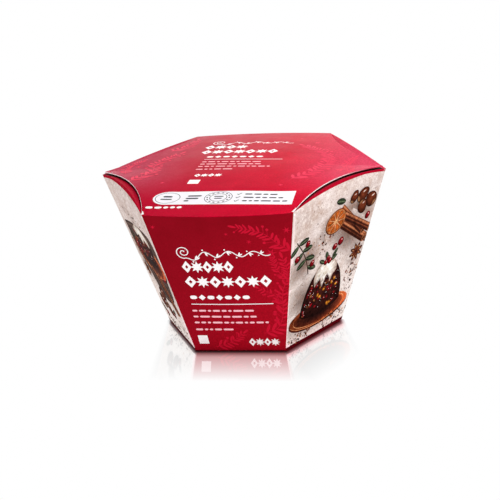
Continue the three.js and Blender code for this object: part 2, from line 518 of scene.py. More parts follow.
class Print:
    """Flat shapes printed on the carton. A higher level lies over a lower one."""

    def __init__(self):
        self.points, self.faces, self.normals, self.inks = [], [], [], []
        self.count = 0

    def on(self, surface, place=lambda points: points):
        """What follows is printed on this surface, with its outlines put in place by this function"""
        self.surface, self.place = surface, place
        return self

    def add(self, flat, faces, level=0, ink=None):
        points, normals = self.surface(flat[:, 0], flat[:, 1])
        self.points.append(points + normals * (FIRST_LIFT + LEVEL_LIFT * level))
        self.normals.append(normals)
        self.faces += [[v + self.count for v in face] for face in faces]
        self.count += len(flat)
        if ink is not None:
            self.inks.append(np.broadcast_to(np.asarray(ink, float), (len(flat), 4)))

    def fill(self, outline, x=0.0, y=0.0, angle=0.0, level=0, inks=(), power=1.0, lit=0.0, light=LIGHT_FROM,
             centre=None):
        """A closed outline that its centre sees all of. inks are the colour of its middle and that of its edge;
        lit makes the side towards the light lighter and the other darker."""
        outline = self.place(placed(outline, x, y, angle))
        centre = outline.mean(0) if centre is None else self.place(placed([centre], x, y, angle))[0]
        outline = cut_up(outline)
        reach = np.linalg.norm(outline - centre, axis=1)
        rings = max(4 if len(inks) == 2 else 1, math.ceil(reach.max() / PRINT_STEP))
        count = len(outline)
        flat, share = [centre], [0.0]
        for ring in range(1, rings + 1):
            flat += list(centre + (outline - centre) * ring / rings)
            share += [ring / rings] * count
        faces = [[0, 1 + i, 1 + (i + 1) % count] for i in range(count)]
        for ring in range(rings - 1):
            a, b = 1 + ring * count, 1 + (ring + 1) * count
            faces += [[a + i, b + i, b + (i + 1) % count, a + (i + 1) % count] for i in range(count)]
        area = np.sum(outline[:, 0] * np.roll(outline[:, 1], -1) - outline[:, 1] * np.roll(outline[:, 0], -1))
        if area < 0:
            faces = [face[::-1] for face in faces]
        flat, colours = np.array(flat), None
        if inks:
            colours = lerp(np.array(inks[0], float), np.array(inks[-1], float), np.array(share) ** power)
            lightward = (flat - centre) @ np.array((math.cos(light), math.sin(light))) / reach.max()
            colours[:, :3] = np.clip(colours[:, :3] * np.exp(lightward * lit)[:, None], 0, 1)
        self.add(flat, faces, level, colours)

    def line(self, path, width, level=0, ink=None, step=PRINT_STEP):
        """A line of ink. width is a number or a function of the share of its length."""
        path = self.place(np.asarray(path, float))
        lengths = lengths_along(path)
        count = max(2, math.ceil(lengths[-1] / step) + 1)
        marks = np.unique(np.concatenate((np.linspace(0, lengths[-1], count), lengths[1:-1])))
        path = at_length(path, lengths, marks)
        heading = unit(np.gradient(path, axis=0))
        left = pairs(-heading[:, 1], heading[:, 0])
        shares = marks / lengths[-1]
        half = np.array([width(s) if callable(width) else width for s in shares])[:, None] / 2
        across = max(1, math.ceil(2 * half.max() / PRINT_STEP))
        flat = np.concatenate([path + left * half * (1 - 2 * k / across) for k in range(across + 1)])
        self.add(flat, grid_faces(across + 1, len(path)), level, ink)

    def strip(self, line, other_line, flipped):
        """A strip of ink between two lines"""
        self.add(np.concatenate((line, other_line)), grid_faces(2, len(line), flipped))

    def build(self, name, material):
        inks = np.concatenate(self.inks) if self.inks else None
        make_piece(name, np.concatenate(self.points), self.faces, np.concatenate(self.normals), material, inks)


# ---- white print on the red board

def bar(art, x0, x1, y, height, level=0):
    """A short bar with rounded ends"""
    r = height / 2
    left, right = x0 + r, x1 - r
    half_turn = np.linspace(-math.pi / 2, math.pi / 2, 5)
    count = max(2, int((x1 - x0) / 1.5))
    lower, upper = (pairs(np.linspace(*ends, count), np.full(count, at))
                    for ends, at in (((left, right), y - r), ((right, left), y + r)))
    caps = oval(r, r, half_turn, right, y)[1:-1], oval(-r, -r, half_turn, left, y)[1:-1]
    art.fill(np.vstack((lower, caps[0], upper, caps[1])), level=level)


def flourish(art, x0, x1, y):
    """A thin vine that starts in a spiral, with small leaves and berries, in place of the line of script"""
    winding = 3.4 * math.pi
    turn = np.linspace(0, winding, 60)
    radius = 0.5 + 3.4 * turn / turn[-1]
    spiral = oval(radius, radius, turn - winding - math.pi / 2, x0 + 4.2, y + 1.4)
    t = np.linspace(0, 1, 80)[1:]
    start = spiral[-1]
    swell = 2.4 * (1 - 0.45 * t) * np.minimum(1, 8 * t)
    height = start[1] + (y - start[1]) * np.minimum(1, 3 * t) - swell * np.sin(2 * math.pi * 3.5 * t - 0.6)
    vine = pairs(start[0] + (x1 - start[0]) * t, height)
    art.line(np.vstack((spiral, vine)), 0.5, step=0.6)
    for k in range(1, 8):
        x, top = vine[int(len(vine) * k / 8)]
        way = 1 if k % 2 else -1
        size = 1 - 0.04 * k
        for lean in (30, 68):
            art.fill(leaf_outline(3.0 * size, 1.0 * size, 9), x, top, math.radians(way * lean))
        art.fill(ellipse(0.5 * size, 0.5 * size, 10), x - 1.2 * size, top - way * 1.3 * size)


def frieze(art, x0, x1, y, height, count):
    """A row of hollow lozenges and stars in place of a word or a weight"""
    pitch = (x1 - x0) / count
    for k in range(count):
        x = x0 + pitch * (k + 0.5)
        if k % 2:
            art.fill(star_outline(height * 0.5, 8, 0.5), x, y)
        else:
            ring = lozenge(pitch * 0.47, height / 2)
            n = len(ring)
            flat = art.place(np.vstack((ring, ring * 0.34)) + (x, y))
            art.add(flat, [[i, (i + 1) % n, n + (i + 1) % n, n + i] for i in range(n)])


def word_bars(art, x0, x1, y, height, seed, level=0):
    """Short bars in place of a line of small text"""
    rng = random.Random(seed)
    x = x0
    while x < x1 - 1.0:
        length = min(rng.choice((1.8, 2.6, 3.8, 5.2)), x1 - x)
        bar(art, x, x + length, y, height, level)
        x += length + 0.8


def white_block(white, soft, vine, rows):
    """The block of white print: flourish, two bold rows, a small row, a rule and four thin lines.
    vine is (x0, x1, y), rows are (x0, x1, y, count), from the flourish's middle."""
    left, right, bold, small_row, rule = -21, 21, 7.5, -27.6, -32.1
    flourish(white, *vine)
    for x0, x1, y, count in rows:
        frieze(white, x0, x1, y, bold, count)
    for k in range(7):
        x = left + 4.5 * k
        if k % 2:
            white.fill(lozenge(1.8, 1.8), x + 1.8, small_row)
        else:
            bar(white, x, x + 3.7, small_row, 2.3)
    white.line([(left, rule), (right, rule)], 0.48)
    for k, (y, end) in enumerate(((-36.4, 10.6), (-40.3, 11.5), (-44.2, 18.4), (-48.8, -1.0))):
        word_bars(soft, -21.2, end, y, 1.15, 20 + k)


def circle(art, x, radius):
    art.line(oval(radius, radius, np.linspace(0, 2 * math.pi, 41), x), 0.32, MARK_LEVEL, step=0.9)


def print_front(white, soft):
    for art in (white, soft):
        art.on(PANELS[FRONT], lambda points: points + (0, 63.5))
    white_block(white, soft, (-24.0, 23.6, 0), ((-22.2, 4.4, -8.0, 5), (-22.2, 22.2, -17.5, 7)))
    white.on(PANELS[FRONT])
    white.fill(box_outline(-20.6, 5.2, -15.6, 10.7, -0.4))
    frieze(white, 5.1, 20.8, 6.2, 5.3, 4)


def print_lid(white, soft, label, marks):
    """The same block again on the lid, and the white label band: rounded at its left end, cut at its right end"""
    for art in (white, soft):
        art.on(LID, lambda points: placed(points, 1.2, 41.0, LID_TILT))
    white_block(white, soft, (-25.8, 20.0, 0.8), ((-27.3, -3.8, -7.9, 4), (-26.7, 15.6, -17.8, 7)))
    frieze(white, -19.5, -4.9, -58.3, 4.6, 4)
    white.fill(box_outline(-20.0, -70.1, -14.2, -64.8))

    for art in (white, label, marks):
        art.on(LID, lambda points: placed(points, 0, -47.0, BAND_TILT))
    word_bars(white, -37.2, -17.6, -11.0, 2.3, 77)
    left_end = oval(BAND_HALF, BAND_HALF, np.linspace(math.pi / 2, 3 * math.pi / 2, 15), BAND_LEFT)
    label.fill(np.vstack((left_end, [(BAND_RIGHT + 0.3, -BAND_HALF), (BAND_RIGHT - 0.3, BAND_HALF)])), centre=(0, 0))
    circle(marks, -28.6, 6.2)
    for y, x0, x1, height in ((1.5, -31.2, -26.4, 1.7), (-1.6, -32.0, -26.0, 1.2), (2.2, -18.8, -11.6, 1.5),
                              (-0.8, -19.2, -12.6, 1.5), (-3.6, -19.6, -17.0, 1.4)):
        bar(marks, x0, x1, y, height, MARK_LEVEL)
    seal, lozenges = -2.7, 14
    circle(marks, seal, 6.9)
    circle(marks, seal, 4.3)
    for k in range(lozenges):
        turn = 2 * math.pi * k / lozenges
        marks.fill(lozenge(0.55, 0.8), seal + 5.6 * math.cos(turn), 5.6 * math.sin(turn), turn, MARK_LEVEL)
    for y, half in ((1.2, 2.4), (-1.0, 2.0)):
        bar(marks, seal - half, seal + half, y, 1.0, MARK_LEVEL)
    for y, end, seed in ((3.9, 27.2, 60), (0.0, 30.0, 61), (-3.9, 32.8, 62)):
        marks.line([(6.2, y + 0.2), (6.8, y - 0.8), (8.2, y + 1.2)], 0.45, MARK_LEVEL, step=0.5)
        word_bars(marks, 10.0, end, y, 1.25, seed, MARK_LEVEL)


def print_back(white, soft):
    for art in (white, soft):
        art.on(PANELS[BACK])
    flourish(white, -22, 22, 66)
    frieze(white, -22, 22, 56, 6.4, 7)
    white.line([(-22, 47), (22, 47)], 0.38)
    for row in range(9):
        word_bars(soft, -22 if row < 5 else -20, 20 - (row % 4) * 4, 42.5 - 3.6 * row, 1.25, 90 + row)


# ---- tone on tone garlands

FRONT_GARLANDS = (  # points of the stem, size, seed
    ([(14, 12), (21, 15), (25, 24), (26.5, 38), (30.5, 50), (29, 60)], 1.45, 3),
    ([(34, 64), (28, 69), (21, 76), (9, 80)], 1.4, 4),
    ([(26.5, 30), (22, 37), (15, 41.5)], 1.15, 15),
    ([(30, 46), (25, 54), (24, 62)], 0.9, 17),
    ([(-12, 3.0), (-4, 6.0), (3, 12)], 1.25, 16),
)
BACK_GARLANDS = (
    ([(-18, 4), (-6, 7), (8, 5), (20, 9)], 0.9, 5),
    ([(-34, 78), (-24, 74), (-12, 79), (0, 75), (12, 79), (24, 75), (34, 79)], 0.9, 6),
)
LID_GARLANDS = (
    ([(-54, -22), (-46, -8), (-47, 8), (-38, 24)], 1.6, 7),
    ([(30, -24), (40, -12), (45, 4), (41, 20), (28, 34)], 1.6, 8),
    ([(-44, 30), (-36, 42), (-35, 54)], 1.4, 9),
    ([(58, -16), (55, 0), (58, 12)], 1.2, 10),
    ([(-60, -8), (-62, 4), (-56, 14)], 1.2, 12),
)
FRONT_CRYSTALS = (24, 63.5, 3.0), (33, 77, 2.2), (-33, 80, 1.6), (14, 71, 1.6), (3.5, 76, 1.2)  # x, y, radius
LID_CRYSTALS = (52, -10, 2.4), (34, 40, 2.2), (24, 50, 1.4), (-56, 4, 2.0), (-36, -26, 1.6), (26, -32, 1.6)


def garland(art, controls, size, seed):
    """A thin stem with pairs of narrow leaves, and berries on stalks"""
    rng = random.Random(seed)
    stem = curve_through(controls, 12)
    art.line(stem, lambda s: 0.42 - 0.16 * s, step=1.0)
    lengths = lengths_along(stem)
    total = lengths[-1]
    place = 1.4
    while place < total - 1:
        x, y = at_length(stem, lengths, place)
        next_x, next_y = at_length(stem, lengths, min(place + 0.5, total))
        heading = math.atan2(next_y - y, next_x - x)
        shrink = size * (1 - 0.45 * place / total)
        for way in (-1, 1):
            turn = heading + way * math.radians(rng.uniform(38, 62))
            length = rng.uniform(3.4, 4.8) * shrink
            if rng.random() < 0.82:
                art.fill(leaf_outline(length, 1.15 * shrink, 9), x, y, turn)
            else:
                berry = x + length * math.cos(turn), y + length * math.sin(turn)
                art.line([(x, y), berry], 0.25)
                art.fill(ellipse(0.7 * shrink, 0.7 * shrink, 12), *berry)
        place += 2.1 * shrink
    art.fill(leaf_outline(3.0 * size, 1.0 * size, 9), *stem[-1], heading)


def garlands(art, surface, stems, crystals=()):
    art.on(surface)
    for stem in stems:
        garland(art, *stem)
    for x, y, radius in crystals:
        art.fill(star_outline(radius, 6, 0.3), x, y, 0.2 * x)


# ---- pictures on the stone ground

COPPER_DARK, COPPER, COPPER_LIGHT = srgb(66, 24, 16), srgb(150, 66, 34), srgb(226, 148, 98)
CAKE_DARK, CAKE, CAKE_LIGHT = srgb(24, 9, 9), srgb(58, 23, 18), srgb(108, 52, 34)
FRUIT_DARK, FRUIT, FRUIT_LIGHT = srgb(62, 4, 12), srgb(140, 14, 26), srgb(214, 76, 72)
CREAM, CREAM_SHADE = srgb(240, 232, 222), srgb(166, 140, 126)
LEAF_DARK, LEAF, LEAF_LIGHT = srgb(20, 28, 22), srgb(46, 60, 42), srgb(110, 124, 92)
ORANGE, ORANGE_LIGHT, RIND, PITH = srgb(140, 52, 18), srgb(204, 104, 40), srgb(104, 40, 16), srgb(204, 150, 104)
BARK_DARK, BARK, BARK_LIGHT = srgb(48, 20, 14), srgb(108, 52, 32), srgb(176, 108, 72)
NUT, NUT_LIGHT = srgb(170, 108, 62), srgb(222, 172, 118)
SHELL_DARK, SHELL, SHELL_BACK = srgb(34, 12, 9), srgb(104, 46, 26), srgb(150, 104, 70)
CLOTH_INKS, HEM = (srgb(88, 66, 58), srgb(56, 40, 35)), srgb(122, 98, 86)
FOLD_INKS = srgb(66, 48, 42), srgb(108, 84, 74), srgb(40, 28, 26)
SHADE_INKS = srgb(92, 60, 44, 0.85), srgb(110, 76, 58, 0.0)
GLINT = srgb(255, 250, 244)
SPECKS = (  # share of the specks up to this kind, its inks: raisins, cherries, nuts, candied peel
    (0.52, (srgb(48, 14, 18), srgb(14, 5, 6))),
    (0.84, (srgb(166, 18, 28), FRUIT_DARK)),
    (0.94, (NUT, CAKE_LIGHT)),
    (1.0, (srgb(232, 150, 40), RIND)),
)
ORANGE_WEDGE = ((0.14, 0), (0.5, -0.27), (0.78, -0.3), (0.84, -0.15), (0.85, 0), (0.84, 0.15), (0.78, 0.3), (0.5, 0.27))
SAUCE_DRIPS = ((-0.55, 0.66), (-0.46, 0.52), (-0.37, 0.64), (-0.26, 0.68), (-0.17, 0.56), (-0.09, 0.44),
               (0.0, 0.56), (0.1, 0.68), (0.22, 0.62), (0.31, 0.5), (0.4, 0.62), (0.5, 0.66))
SLICE = ((-1, -0.42), (0.9, -0.5), (1, 0.28), (0.2, 0.56), (-0.7, 0.5))
SLICE_CREAM = ((-0.8, 0.48), (-0.5, 0.30), (-0.2, 0.46), (0.1, 0.16), (0.4, 0.42), (0.8, 0.24), (0.9, 0.5),
               (0.3, 0.78), (-0.4, 0.74))


class Picture(Print):
    """The things that the pictures on the slanting sides are made of"""

    def shadow(self, x, y, rx, ry, angle, seed):
        self.fill(ellipse(rx, ry, 30, 0.05, seed), x, y, angle, 0, SHADE_INKS, power=1.4)

    def berries(self, level, *berries):
        for seed, (x, y, r) in enumerate(berries):
            self.berry(x, y, r, level, seed)

    def berry(self, x, y, r, level, seed):
        self.fill(ellipse(r, r, 16, 0.03, seed), x, y, 0, level, (FRUIT, FRUIT_DARK), power=1.8, lit=0.8)
        self.fill(ellipse(r * 0.26, r * 0.17, 8), x + r * 0.28, y + r * 0.38, -0.5, level + 1, (GLINT, FRUIT_LIGHT))

    def leaf(self, x, y, length, width, angle, level):
        self.fill(leaf_outline(length, width), x, y, angle, level, (LEAF, LEAF_DARK), power=2.0, lit=0.5)
        self.line(placed([(0.3, 0), (length * 0.92, 0)], x, y, angle), 0.28, level + 1, LEAF_LIGHT)

    def sticks(self, length, *places, width=4.6):
        """Rolled cinnamon sticks: dark and light grooves along them, an oval cut end, dark in its middle"""
        half = length / 2
        grooves = (-0.34, 0.28, BARK_DARK), (0.3, 0.22, BARK_LIGHT), (0.02, 0.14, BARK_DARK), (0.44, 0.1, BARK)
        for x, y, angle, level in places:
            self.line(placed([(-half, 0), (half, 0)], x, y, angle), width, level, BARK)
            for offset, wide, ink in grooves:
                at = offset * width
                groove = placed([(-half, at), (0, at + 0.05), (half, at)], x, y, angle)
                self.line(groove, wide * width, level + 1, ink)
            end = ahead(half, x, y, angle)
            cut = ellipse(width / 2 * 0.55, width / 2, 14)
            self.fill(cut, *end, angle, level + 2, (CAKE_DARK, BARK_LIGHT), power=2.5)

    def orange(self, x, y, r, squash, angle, level):
        """A dried slice: rind, pith and nine wedges"""
        self.fill(ellipse(r, r * squash, 32), x, y, angle, level, (RIND,), lit=0.3)
        self.fill(ellipse(r * 0.92, r * 0.92 * squash, 32), x, y, angle, level + 1, (PITH, NUT), power=2.0)
        for k in range(9):
            turn = 2 * math.pi * k / 9
            wedge = [(r * radius * math.cos(turn + offset), r * radius * math.sin(turn + offset) * squash)
                     for radius, offset in ORANGE_WEDGE]
            self.fill(wedge, x, y, angle, level + 2, (ORANGE_LIGHT, ORANGE), lit=0.25)

    def spice_star(self, x, y, r, angle, level):
        for k in range(8):
            turn = angle + 2 * math.pi * k / 8
            self.fill(leaf_outline(r, r * 0.42, 8), x, y, turn, level, (BARK, BARK_DARK), power=1.5)
            seed = ahead(r * 0.58, x, y, turn)
            self.fill(ellipse(r * 0.13, r * 0.08, 8), *seed, turn, level + 1, (NUT_LIGHT, BARK))
        self.fill(ellipse(r * 0.16, r * 0.16, 8), x, y, 0, level + 1, (BARK_DARK,))

    def crumbs(self, first_seed, *patches):
        """Patches of crumbs: x, y, half width, half height, count"""
        for seed, (x, y, rx, ry, count) in enumerate(patches, first_seed):
            rng = random.Random(seed)
            for k in range(count):
                turn, reach = rng.uniform(0, 6.28), rng.random() ** 0.7
                size = rng.uniform(0.22, 0.7) * (1.5 if rng.random() < 0.12 else 1)
                ink = rng.choice((CAKE_DARK, CAKE, CAKE, CAKE_LIGHT, BARK, NUT))
                outline = ellipse(size, size * rng.uniform(0.5, 0.9), 7, 0.1, seed + k)
                at = x + rx * reach * math.cos(turn), y + ry * reach * math.sin(turn)
                self.fill(outline, *at, rng.uniform(0, 3), CRUMB_LEVEL, (ink,))

    def chestnuts(self, level, *nuts):
        for x, y, r, angle in nuts:
            t = full_turn(20)
            reach = r * (1 + 0.16 * np.maximum(np.cos(t), 0) ** 6)
            self.fill(oval(reach, 0.86 * reach, t), x, y, angle, level, (SHELL, SHELL_DARK), power=1.8, lit=0.9)
            back = ahead(-0.72 * r, x, y, angle)
            self.fill(ellipse(0.22 * r, 0.5 * r, 12), *back, angle, level + 1, (SHELL_BACK, BARK_DARK), power=2.0)
            self.fill(ellipse(0.3 * r, 0.1 * r, 10), x + 0.2 * r, y + 0.42 * r, 0.3, level + 1, (GLINT, BARK_LIGHT))

    def fruit_specks(self, inside, x0, y0, x1, y1, count, seed, level):
        """Raisins, candied fruit and nuts strewn where inside(x, y) is true"""
        rng = random.Random(seed)
        strewn = 0
        while strewn < count:
            x, y = rng.uniform(x0, x1), rng.uniform(y0, y1)
            if not inside(x, y):
                continue
            strewn += 1
            kind, size, turn = rng.random(), rng.uniform(0.6, 1.7), rng.uniform(0, 3.1)
            inks = next(pair for share, pair in SPECKS if kind < share)
            self.fill(ellipse(size, size * 0.66, 9, 0.08, seed + strewn), x, y, turn, level, inks, lit=0.6)
            if rng.random() < 0.4:
                self.fill(ellipse(0.28, 0.14, 6), x + 0.25 * size, y + 0.25 * size, turn, level + 1, (GLINT,))

    def plate(self, x, y, rx, ry, level):
        """A copper plate: dark well, broad rim, thin glints along its edge"""
        self.fill(ellipse(rx, ry, 48), x, y - ry * 0.16, 0, level, (COPPER_DARK,))
        self.fill(ellipse(rx, ry, 48), x, y, 0, level + 1, (COPPER,), lit=0.9, light=0.3)
        self.fill(ellipse(rx * 0.84, ry * 0.82, 48), x, y - ry * 0.03, 0, level + 2, (CAKE_DARK, srgb(104, 42, 24)),
                  power=3, lit=0.6, light=0.3)
        glints = (0.98, 0.1, 2.2, 0.5), (0.98, 3.4, 5.6, 0.35), (0.88, -0.4, 0.9, 0.4), (0.86, 3.0, 4.6, 0.3)
        for share, start, end, width in glints:
            self.line(oval(rx * share, ry * share, np.linspace(start, end, 24), x, y),
                      lambda s, w=width: w * math.sin(math.pi * s) + 0.06, level + 3, COPPER_LIGHT, 0.8)

    def pudding(self, x, y, width, height, level, seed):
        """A dark domed pudding with pale sauce, berries and leaves on top"""
        half = width / 2
        t = np.linspace(0, math.pi, 26)
        dome = pairs(half * np.cos(t) * (1 - 0.10 * np.sin(t)), height * np.sin(t) ** 0.82)
        foot = oval(-half, -height * 0.16, t)[1:-1]
        body = np.vstack((dome, foot))
        self.fill(body, x, y, 0, level, (CAKE, CAKE_DARK), power=2.4, lit=0.9, centre=(0, height * 0.42))

        def inside(px, py):
            lift = py - y - height * 0.05
            return ((px - x) / (half * 0.9)) ** 2 + (lift / (height * 0.86)) ** 2 < 1 and py > y - height * 0.05

        self.fruit_specks(inside, x - half, y - 2, x + half, y + height, 130, seed, level + 1)
        # sauce: a cap with drips of uneven length
        top = pairs(half * 0.56 * np.cos(t), height * (0.72 + 0.30 * np.sin(t) ** 0.8))
        cap = np.vstack((top, curve_through([(half * a, height * b) for a, b in SAUCE_DRIPS], 3)))
        self.fill(cap, x, y, 0, level + 3, (CREAM, CREAM_SHADE), power=3.0, lit=0.25, centre=(0, height * 0.8))
        crown = y + height
        for dx, dy, turn in ((-2.2, 0.4, 2.6), (2.4, 0.2, 0.4), (-0.4, 1.8, 1.9), (3.6, 1.8, 0.9)):
            self.leaf(x + dx, crown + dy - 1.0, 5.6, 2.5, turn, level + 4)
        self.berries(level + 6, (x - 1.5, crown - 0.4, 1.7), (x + 1.6, crown - 0.5, 1.8), (x + 0.1, crown + 1.5, 1.6))

    def wedge(self, x, y, size, level, seed):
        """A slice of pudding lying on its side"""
        face = cut_up([(size * a, size * b) for a, b in SLICE], 5)
        self.fill(face, x, y, 0, level, (CAKE, CAKE_DARK), power=2.2, lit=0.8)

        def inside(px, py):
            return abs(px - x) < 0.8 * size and -0.38 * size < py - y < 0.4 * size

        self.fruit_specks(inside, x - size, y - size, x + size, y + size, 60, seed, level + 1)
        cream = curve_through([(size * a, size * b) for a, b in SLICE_CREAM], 3)
        self.fill(cream, x, y, 0, level + 3, (CREAM, CREAM_SHADE), power=2.5, centre=(0.05 * size, 0.52 * size))


def feast(art, seed):
    """Pudding on a copper plate low on the panel, spices and chestnuts above it"""
    art.shadow(-6, 13, 28, 11, 0.05, seed)
    art.shadow(-17, 29, 15, 15, 0.4, seed + 9)
    art.plate(-0.5, 15.5, 24, 7.6, 1)
    art.pudding(-0.5, 18.5, 33, 27.5, 5, seed)
    art.shadow(13, 57, 25, 13, -0.6, seed + 1)
    art.sticks(31, (16.0, 58, -0.62, 2), (19.2, 62.4, -0.56, 5), (15.0, 64.8, -0.75, 3), (20.6, 56.6, -0.66, 1))
    art.shadow(-2, 65, 12, 10, 0.2, seed + 2)
    art.orange(0.5, 68.6, 8.2, 0.86, 0.25, 6)
    art.shadow(20, 71, 16, 8, -0.4, seed + 10)
    art.chestnuts(8, (20.4, 77.4, 4.8, 0.4), (29.0, 72.2, 5.0, 2.4), (21.6, 70.6, 4.4, 5.2), (13.0, 78.4, 3.6, 1.0))
    art.berries(8, (8.0, 54.6, 2.4), (3.6, 52.8, 2.1), (28.2, 63.0, 2.2))
    art.leaf(6.0, 78.6, 8.0, 3.6, 2.9, 7)
    art.shadow(23.5, 41, 9, 6, 0.2, seed + 4)
    art.spice_star(24.0, 42.5, 5.6, 0.3, 3)
    art.shadow(-21, 51, 14, 11, 0.6, seed + 3)
    art.line(curve_through([(-30, 67), (-24, 60), (-19, 52), (-16, 44)], 8), 0.6, 2, BARK_DARK)
    for x, y, turn in ((-28, 65, 0.2), (-28, 64.6, 3.9), (-24, 60, 0.1), (-23.4, 59.2, 3.9), (-20.4, 54.6, -0.2),
                       (-20, 54, 3.7), (-17.8, 49, -0.4)):
        art.leaf(x, y, 7.8, 3.4, turn, 3)
    art.berries(6, (-20.6, 63.2, 2.0), (-27.6, 56.6, 2.0), (-14.0, 49.4, 2.0))
    art.crumbs(seed + 5, (13, 7, 12, 5, 80), (-14, 5, 9, 3.4, 60), (23, 28, 6, 9, 60), (-8, 58, 12, 9, 40))


CLOTH_POINTS = [(-27, 63), (-6, 68), (20, 70), (29, 66), (28, 52), (26, 40), (22, 30), (9, 24), (-4, 25), (-14, 38),
                (-24, 50), (-27, 63)]
CLOTH_CENTRE = (2, 45)
CLOTH_FOLDS = (  # start, end, width
    ((-22, 58), (22, 35), 2.6), ((-12, 63), (24, 47), 1.8), ((-17, 48), (19, 31), 2.2),
    ((4, 65), (26, 57), 1.6), ((-10, 37), (9, 27), 2.0), ((-20, 54), (-4, 29), 1.6),
)


def slice_scene(art, seed):
    """A slice on a copper plate high on the panel, a trail of spices and fruit below it"""
    art.shadow(2, 45, 31, 26, 0.0, seed)
    cloth = curve_through(CLOTH_POINTS, 4)[:-1]
    art.fill(cloth, level=1, inks=CLOTH_INKS, power=3.0, lit=0.3, centre=CLOTH_CENTRE)
    for share in (0.9, 0.93):
        hem = (cloth - CLOTH_CENTRE) * share + CLOTH_CENTRE
        art.line(np.vstack((hem, hem[:1])), 0.3, 2, HEM)
    for a, b, wide in CLOTH_FOLDS:
        middle = (0.5 * (a[0] + b[0]) + 1.5, 0.5 * (a[1] + b[1]) + 2.0)
        fold = curve_through([a, middle, b], 10)
        for shift, share, ink in zip((0, 0.28 * wide, -0.3 * wide), (1.0, 0.5, 0.3), FOLD_INKS):
            art.line(fold + (0.6 * shift, 0.8 * shift),
                     lambda s, w=wide * share: 0.1 + w * math.sin(math.pi * s) ** 1.5, 2, ink)
    art.plate(4, 50, 26, 10.0, 3)
    art.wedge(4.5, 56.6, 16.4, 7, seed)
    art.berry(-15.0, 52.4, 2.9, 10, 1)
    art.berry(-11.0, 49.4, 2.5, 10, 2)
    art.leaf(-16.5, 54, 7.6, 3.4, 2.3, 8)
    art.sticks(24, (10, 30, -0.95, 4), (14.4, 31.8, -1.02, 7), (6.6, 33.6, -0.9, 5))
    art.chestnuts(6, (-6.0, 24.0, 5.0, 0.4), (-11.4, 17.6, 4.6, 2.4), (-2.6, 16.4, 4.2, 5.2))
    art.spice_star(-19, 35.5, 5.4, 0.5, 3)
    art.berries(9, (3.0, 14.0, 2.2), (-14.5, 9.0, 2.0), (20.5, 42.5, 2.2))
    art.leaf(2.4, 15, 6.4, 2.8, 0.5, 8)
    art.leaf(-15.5, 9.5, 6.8, 2.8, 2.6, 8)
    art.crumbs(seed + 3, (-8, 5, 13, 3.6, 60), (13, 8, 8, 6, 30), (-22, 52, 7, 8, 34), (-2, 72, 18, 5, 34))


# ---- materials

GLOSS, MATT = 0.01, 0.001  # specular level of the varnished red lid and panels, and of the matt print
PRINT_BUMPS, FIBRE_BUMPS = ((1.6, 0.012), (0.35, 0.004)), ((0.5, 0.02),)  # size and depth in mm
# painted light: the lid's red runs from darker on the left to brighter on the right; the third red lies in random
# patches
LID_REDS = srgb(180, 7, 46), srgb(232, 7, 50), srgb(168, 4, 34)  # to the left, to the right, in patches
# painted sheen: paler, pinker reds towards the lid's left and right ends, the left one also darker as painted shade
LID_END_SHEENS = srgb(190, 58, 90), srgb(222, 62, 98)
# painted light: the last red brightens the front and back panels towards their lower right corner
WALL_REDS, WALL_PAINTED_LIGHT = (srgb(146, 9, 28), srgb(133, 7, 22)), srgb(179, 12, 34)


class Nodes:
    """The node chains that the materials, the floor and the world need"""

    def __init__(self, owner, coordinate="Object"):
        owner.use_nodes = True
        self.owner, self.tree = owner, owner.node_tree
        self.place = self.node("ShaderNodeTexCoord").outputs[coordinate]

    def node(self, kind, values=(), **settings):
        """A new node, with these values on its inputs, by number or by name"""
        node = self.tree.nodes.new(kind)
        for name, setting in settings.items():
            setattr(node, name, setting)
        for key, value in values.items() if isinstance(values, dict) else enumerate(values):
            self.set(node, key, value)
        return node

    def set(self, node, key, value):
        if isinstance(value, bpy.types.NodeSocket):
            self.tree.links.new(value, node.inputs[key])
        else:
            node.inputs[key].default_value = value

    def axes(self):
        return tuple(self.node("ShaderNodeSeparateXYZ", (self.place,)).outputs)

    def ink(self):
        return self.node("ShaderNodeVertexColor", layer_name="ink").outputs

    def noise(self, size, detail=3.0, roughness=0.55, distortion=0.0):
        """Noise with features of about this size in millimetres"""
        values = {"Vector": self.place, "Scale": 1 / (size * MM), "Detail": detail, "Roughness": roughness,
                  "Distortion": distortion}
        return self.node("ShaderNodeTexNoise", values).outputs["Fac"]

    def math(self, operation, *values):
        return self.node("ShaderNodeMath", values, operation=operation).outputs[0]

    def times(self, first, *others):
        for other in others:
            first = self.math("MULTIPLY", first, other)
        return first

    def spread(self, value, low, high, to_low=0.0, to_high=1.0, kind="LINEAR"):
        values = (value, low, high, to_low, to_high)
        return self.node("ShaderNodeMapRange", values, interpolation_type=kind).outputs["Result"]

    def between(self, share, a, b):
        return self.spread(share, 0.0, 1.0, a, b)

    def mix(self, factor, a, b, kind="MIX"):
        return self.node("ShaderNodeMix", {0: factor, 6: a, 7: b}, data_type="RGBA", blend_type=kind).outputs[2]

    def patches(self, under, over, strength, low, high, *noise):
        """Lays one colour over the other where this noise rises from low to high"""
        return self.mix(self.spread(self.noise(*noise), low, high, 0.0, strength), under, over)


class Board(Nodes):
    """A material of printed or bare board"""

    def __init__(self, name, roughness, specular):
        super().__init__(bpy.data.materials.new(name))
        self.shader = self.tree.nodes["Principled BSDF"]
        self.set(self.shader, "Roughness", roughness)
        self.set(self.shader, "Specular IOR Level", specular)

    def finished(self, colour, roughness, bumps=PRINT_BUMPS):
        """The material with this colour, with roughness (low, high) from noise, and with bumps"""
        self.set(self.shader, "Base Color", colour)
        self.set(self.shader, "Roughness", self.spread(self.noise(6.0, 4.0), 0.3, 0.7, *roughness))
        below = {}
        for size, depth in bumps:
            values = {"Height": self.noise(size, 2.0), "Strength": 1.0, "Distance": depth * MM, **below}
            below = {"Normal": self.node("ShaderNodeBump", values).outputs["Normal"]}
        self.set(self.shader, "Normal", below["Normal"])
        return self.owner


